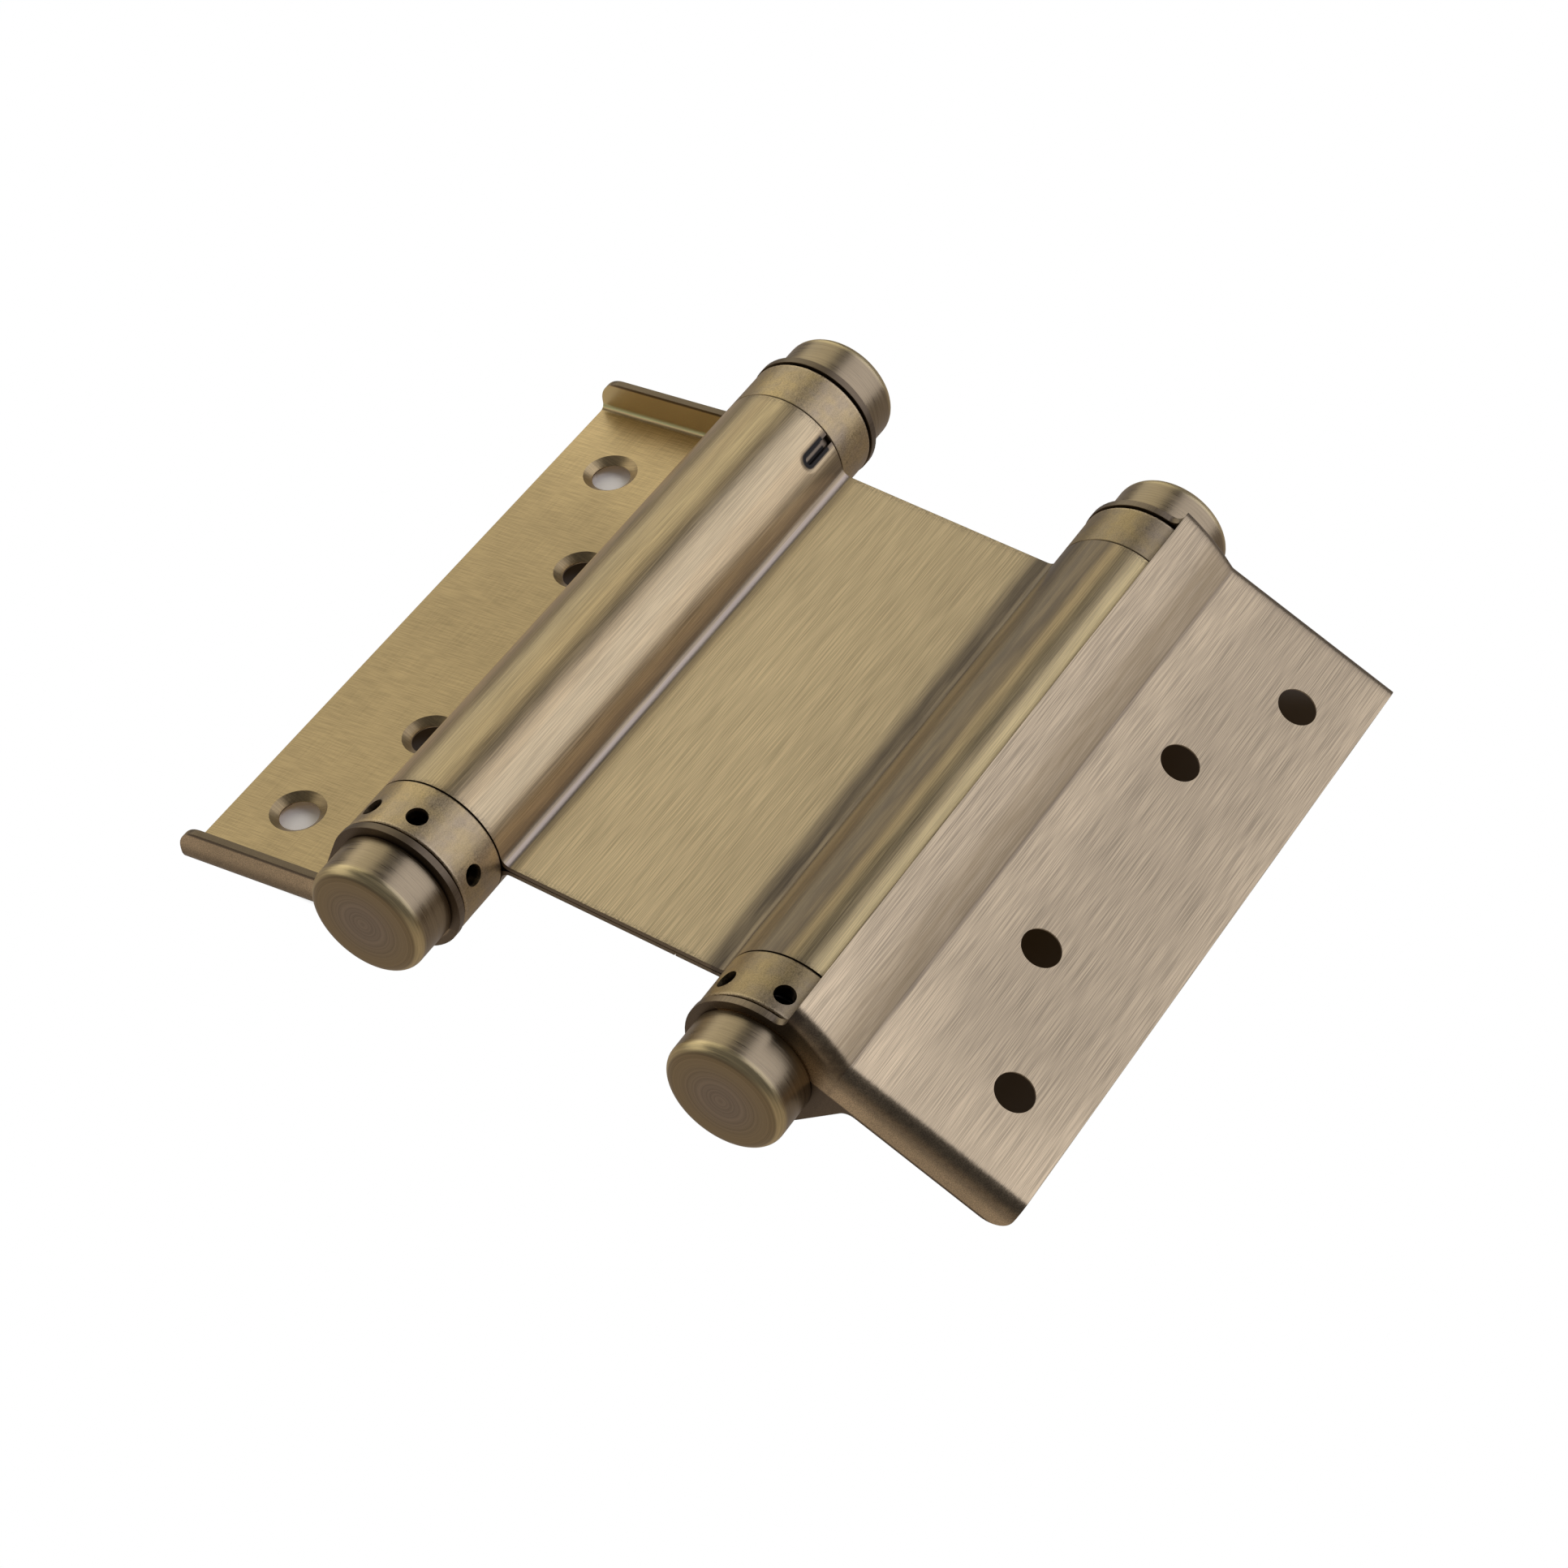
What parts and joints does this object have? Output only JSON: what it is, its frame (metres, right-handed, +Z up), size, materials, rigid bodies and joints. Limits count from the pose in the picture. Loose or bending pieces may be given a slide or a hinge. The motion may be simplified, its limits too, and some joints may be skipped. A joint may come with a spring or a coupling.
{
  "type": "double action cafe hinge",
  "caption": "Double action spring hinge for swing doors: two sprung barrels on a folded centre plate, each with a drilled leaf, in an antique bronze finish.",
  "frame": {"origin": "on the surface that the hinge lies on, under the middle of the whole hinge", "axes": "+X across the hinge, from leaf A to leaf B; +Y along the barrels, from the tension collars to the fixed collars; +Z up, as the hinge lies in the picture"},
  "size_m": [0.1248, 0.1164, 0.0235],
  "materials": {
    "bronzed_sheet": "steel sheet, plated antique bronze and brushed along the barrels, lacquered",
    "bronzed_leaf": "pressed steel leaf, plated antique bronze and brushed, lacquered",
    "bronzed_cap": "turned steel cap, plated antique bronze, with fine turning marks",
    "bronzed_collar": "collar with a rough grain under its antique bronze plating",
    "bright_rod": "drawn bright steel",
    "dark_washer": "oiled dark steel",
    "turned_bush": "turned bronze bearing metal",
    "spring_wire": "oil-tempered spring wire, greased"
  },
  "bodies": {
    "centre": {"centre_leaf": "bronzed_sheet", "fixed_plug_a": "bronzed_collar", "plug_bush_a": "turned_bush", "torsion_spring_a": "spring_wire", "fixed_plug_b": "bronzed_collar", "plug_bush_b": "turned_bush", "torsion_spring_b": "spring_wire"},
    "leaf_a": {"leaf_a_plate": "bronzed_leaf", "spindle_a": "bright_rod", "cap_a_near": "bronzed_cap", "cap_a_far": "bronzed_cap", "thrust_washer_a_near": "dark_washer", "thrust_washer_a_far": "dark_washer"},
    "tension_a": {"tension_collar_a": "bronzed_collar", "tension_bush_a": "turned_bush"},
    "leaf_b": {"leaf_b_plate": "bronzed_leaf", "spindle_b": "bright_rod", "cap_b_near": "bronzed_cap", "cap_b_far": "bronzed_cap", "thrust_washer_b_near": "dark_washer", "thrust_washer_b_far": "dark_washer"},
    "tension_b": {"tension_collar_b": "bronzed_collar", "tension_bush_b": "turned_bush"}
  },
  "joints": [
    {"name": "leaf_a_swing", "type": "hinge", "parent": "centre", "child": "leaf_a", "pos_m": [-0.02696, 0, 0.0139], "axis": [0, 1, 0], "range_deg": [-75, 189]},
    {"name": "leaf_b_swing", "type": "hinge", "parent": "centre", "child": "leaf_b", "pos_m": [0.02514, 0, 0.01068], "axis": [0, 1, 0], "range_deg": [-106, 158]},
    {"name": "tension_a_turn", "type": "hinge", "parent": "centre", "child": "tension_a", "pos_m": [-0.02696, 0, 0.0139], "axis": [0, 1, 0], "range_deg": [0, 270], "stiffness_Nm_per_rad": 0.15, "deforming": ["torsion_spring_a"]},
    {"name": "tension_b_turn", "type": "hinge", "parent": "centre", "child": "tension_b", "pos_m": [0.02514, 0, 0.01068], "axis": [0, 1, 0], "range_deg": [0, 270], "stiffness_Nm_per_rad": 0.15, "deforming": ["torsion_spring_b"]}
  ]
}
